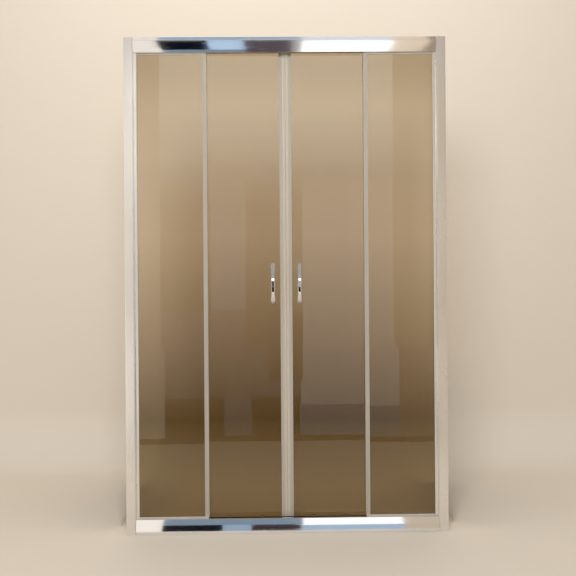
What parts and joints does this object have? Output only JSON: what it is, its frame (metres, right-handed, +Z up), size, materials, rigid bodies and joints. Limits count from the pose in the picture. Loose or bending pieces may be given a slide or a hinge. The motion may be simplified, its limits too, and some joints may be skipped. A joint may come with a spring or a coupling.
{
  "type": "shower screen",
  "caption": "Framed alcove shower screen: fixed glass side panels and sliding glass doors that meet at the centre, bow handles, polished rails, grooved rollers and seals.",
  "frame": {"origin": "on the floor, at the centre of the sill rail's underside", "axes": "+X right seen from outside, -Y towards the outside, +Z up"},
  "size_m": [1.2, 0.0858, 1.85],
  "materials": {
    "polished_profile": "polished",
    "chrome": "polished",
    "steel": "satin",
    "panel_glass": "gloss",
    "seal": "satin",
    "gasket": "matte",
    "magnet": "matte",
    "nylon": "satin",
    "grey_plastic": "satin",
    "clear_plastic": "gloss",
    "buffer": "matte"
  },
  "bodies": {
    "frame": {"door_stops": "buffer", "head_rail": "polished_profile", "left_fixed_glass": "panel_glass", "left_glazing_gaskets": "gasket", "left_overlap_seal": "seal", "left_side_profile": "polished_profile", "left_wall_profile": "polished_profile", "profile_screws": "steel", "rail_screws": "steel", "right_fixed_glass": "panel_glass", "right_glazing_gaskets": "gasket", "right_overlap_seal": "seal", "right_side_profile": "polished_profile", "right_wall_profile": "polished_profile", "screw_caps": "chrome", "sill_rail": "polished_profile"},
    "left_door": {"left_door_glass": "panel_glass", "left_drip_seal": "seal", "left_handle_studs": "steel", "left_handle_washers": "clear_plastic", "left_inner_handle": "chrome", "left_meeting_magnet": "magnet", "left_meeting_seal": "seal", "left_outer_handle": "chrome", "left_release_housings": "grey_plastic", "left_release_spring_lead": "steel", "left_release_spring_trail": "steel", "left_roller_caps": "chrome", "left_top_brackets": "steel", "left_trailing_seal": "seal"},
    "right_door": {"right_door_glass": "panel_glass", "right_drip_seal": "seal", "right_handle_studs": "steel", "right_handle_washers": "clear_plastic", "right_inner_handle": "chrome", "right_meeting_magnet": "magnet", "right_meeting_seal": "seal", "right_outer_handle": "chrome", "right_release_housings": "grey_plastic", "right_release_spring_lead": "steel", "right_release_spring_trail": "steel", "right_roller_caps": "chrome", "right_top_brackets": "steel", "right_trailing_seal": "seal"},
    "left_foot_wheel_lead": {"left_foot_wheel_lead": "nylon"},
    "left_foot_wheel_trail": {"left_foot_wheel_trail": "nylon"},
    "left_release_carriage_lead": {"left_release_lead": "grey_plastic"},
    "left_release_carriage_trail": {"left_release_trail": "grey_plastic"},
    "left_top_wheel_lead_a": {"left_top_wheel_lead_a": "nylon"},
    "left_top_wheel_lead_b": {"left_top_wheel_lead_b": "nylon"},
    "left_top_wheel_trail_a": {"left_top_wheel_trail_a": "nylon"},
    "left_top_wheel_trail_b": {"left_top_wheel_trail_b": "nylon"},
    "right_foot_wheel_lead": {"right_foot_wheel_lead": "nylon"},
    "right_foot_wheel_trail": {"right_foot_wheel_trail": "nylon"},
    "right_release_carriage_lead": {"right_release_lead": "grey_plastic"},
    "right_release_carriage_trail": {"right_release_trail": "grey_plastic"},
    "right_top_wheel_lead_a": {"right_top_wheel_lead_a": "nylon"},
    "right_top_wheel_lead_b": {"right_top_wheel_lead_b": "nylon"},
    "right_top_wheel_trail_a": {"right_top_wheel_trail_a": "nylon"},
    "right_top_wheel_trail_b": {"right_top_wheel_trail_b": "nylon"}
  },
  "joints": [
    {"name": "left_door_slide", "type": "slide", "parent": "frame", "child": "left_door", "axis": [-1, 0, 0], "range_m": [0, 0.23]},
    {"name": "left_top_wheel_lead_a_turn", "type": "hinge", "parent": "left_door", "child": "left_top_wheel_lead_a", "pos_m": [-0.086, 0.0112, 1.8343], "axis": [0, 1, 0], "continuous": true},
    {"name": "left_top_wheel_lead_b_turn", "type": "hinge", "parent": "left_door", "child": "left_top_wheel_lead_b", "pos_m": [-0.114, 0.0112, 1.8343], "axis": [0, 1, 0], "continuous": true},
    {"name": "left_release_lead_press", "type": "slide", "parent": "left_door", "child": "left_release_carriage_lead", "axis": [0, 0, -1], "range_m": [0, 0.004], "stiffness_N_per_m": 1500, "springref_m": -0.004, "deforming": ["left_release_spring_lead"]},
    {"name": "left_foot_wheel_lead_turn", "type": "hinge", "parent": "left_release_carriage_lead", "child": "left_foot_wheel_lead", "pos_m": [-0.1, 0.0112, 0.0182], "axis": [0, 1, 0], "continuous": true},
    {"name": "left_top_wheel_trail_a_turn", "type": "hinge", "parent": "left_door", "child": "left_top_wheel_trail_a", "pos_m": [-0.207, 0.0112, 1.8343], "axis": [0, 1, 0], "continuous": true},
    {"name": "left_top_wheel_trail_b_turn", "type": "hinge", "parent": "left_door", "child": "left_top_wheel_trail_b", "pos_m": [-0.235, 0.0112, 1.8343], "axis": [0, 1, 0], "continuous": true},
    {"name": "left_release_trail_press", "type": "slide", "parent": "left_door", "child": "left_release_carriage_trail", "axis": [0, 0, -1], "range_m": [0, 0.004], "stiffness_N_per_m": 1500, "springref_m": -0.004, "deforming": ["left_release_spring_trail"]},
    {"name": "left_foot_wheel_trail_turn", "type": "hinge", "parent": "left_release_carriage_trail", "child": "left_foot_wheel_trail", "pos_m": [-0.221, 0.0112, 0.0182], "axis": [0, 1, 0], "continuous": true},
    {"name": "right_door_slide", "type": "slide", "parent": "frame", "child": "right_door", "axis": [1, 0, 0], "range_m": [0, 0.23]},
    {"name": "right_top_wheel_lead_a_turn", "type": "hinge", "parent": "right_door", "child": "right_top_wheel_lead_a", "pos_m": [0.086, 0.0112, 1.8343], "axis": [0, 1, 0], "continuous": true},
    {"name": "right_top_wheel_lead_b_turn", "type": "hinge", "parent": "right_door", "child": "right_top_wheel_lead_b", "pos_m": [0.114, 0.0112, 1.8343], "axis": [0, 1, 0], "continuous": true},
    {"name": "right_release_lead_press", "type": "slide", "parent": "right_door", "child": "right_release_carriage_lead", "axis": [0, 0, -1], "range_m": [0, 0.004], "stiffness_N_per_m": 1500, "springref_m": -0.004, "deforming": ["right_release_spring_lead"]},
    {"name": "right_foot_wheel_lead_turn", "type": "hinge", "parent": "right_release_carriage_lead", "child": "right_foot_wheel_lead", "pos_m": [0.1, 0.0112, 0.0182], "axis": [0, 1, 0], "continuous": true},
    {"name": "right_top_wheel_trail_a_turn", "type": "hinge", "parent": "right_door", "child": "right_top_wheel_trail_a", "pos_m": [0.207, 0.0112, 1.8343], "axis": [0, 1, 0], "continuous": true},
    {"name": "right_top_wheel_trail_b_turn", "type": "hinge", "parent": "right_door", "child": "right_top_wheel_trail_b", "pos_m": [0.235, 0.0112, 1.8343], "axis": [0, 1, 0], "continuous": true},
    {"name": "right_release_trail_press", "type": "slide", "parent": "right_door", "child": "right_release_carriage_trail", "axis": [0, 0, -1], "range_m": [0, 0.004], "stiffness_N_per_m": 1500, "springref_m": -0.004, "deforming": ["right_release_spring_trail"]},
    {"name": "right_foot_wheel_trail_turn", "type": "hinge", "parent": "right_release_carriage_trail", "child": "right_foot_wheel_trail", "pos_m": [0.221, 0.0112, 0.0182], "axis": [0, 1, 0], "continuous": true}
  ],
  "couplings": [
    {"joint": "left_top_wheel_lead_a_turn", "follows": "left_door_slide", "rad_per_m": -100},
    {"joint": "left_top_wheel_lead_b_turn", "follows": "left_door_slide", "rad_per_m": -100},
    {"joint": "left_foot_wheel_lead_turn", "follows": "left_door_slide", "rad_per_m": 133.33},
    {"joint": "left_top_wheel_trail_a_turn", "follows": "left_door_slide", "rad_per_m": -100},
    {"joint": "left_top_wheel_trail_b_turn", "follows": "left_door_slide", "rad_per_m": -100},
    {"joint": "left_foot_wheel_trail_turn", "follows": "left_door_slide", "rad_per_m": 133.33},
    {"joint": "right_top_wheel_lead_a_turn", "follows": "right_door_slide", "rad_per_m": 100},
    {"joint": "right_top_wheel_lead_b_turn", "follows": "right_door_slide", "rad_per_m": 100},
    {"joint": "right_foot_wheel_lead_turn", "follows": "right_door_slide", "rad_per_m": -133.33},
    {"joint": "right_top_wheel_trail_a_turn", "follows": "right_door_slide", "rad_per_m": 100},
    {"joint": "right_top_wheel_trail_b_turn", "follows": "right_door_slide", "rad_per_m": 100},
    {"joint": "right_foot_wheel_trail_turn", "follows": "right_door_slide", "rad_per_m": -133.33}
  ]
}
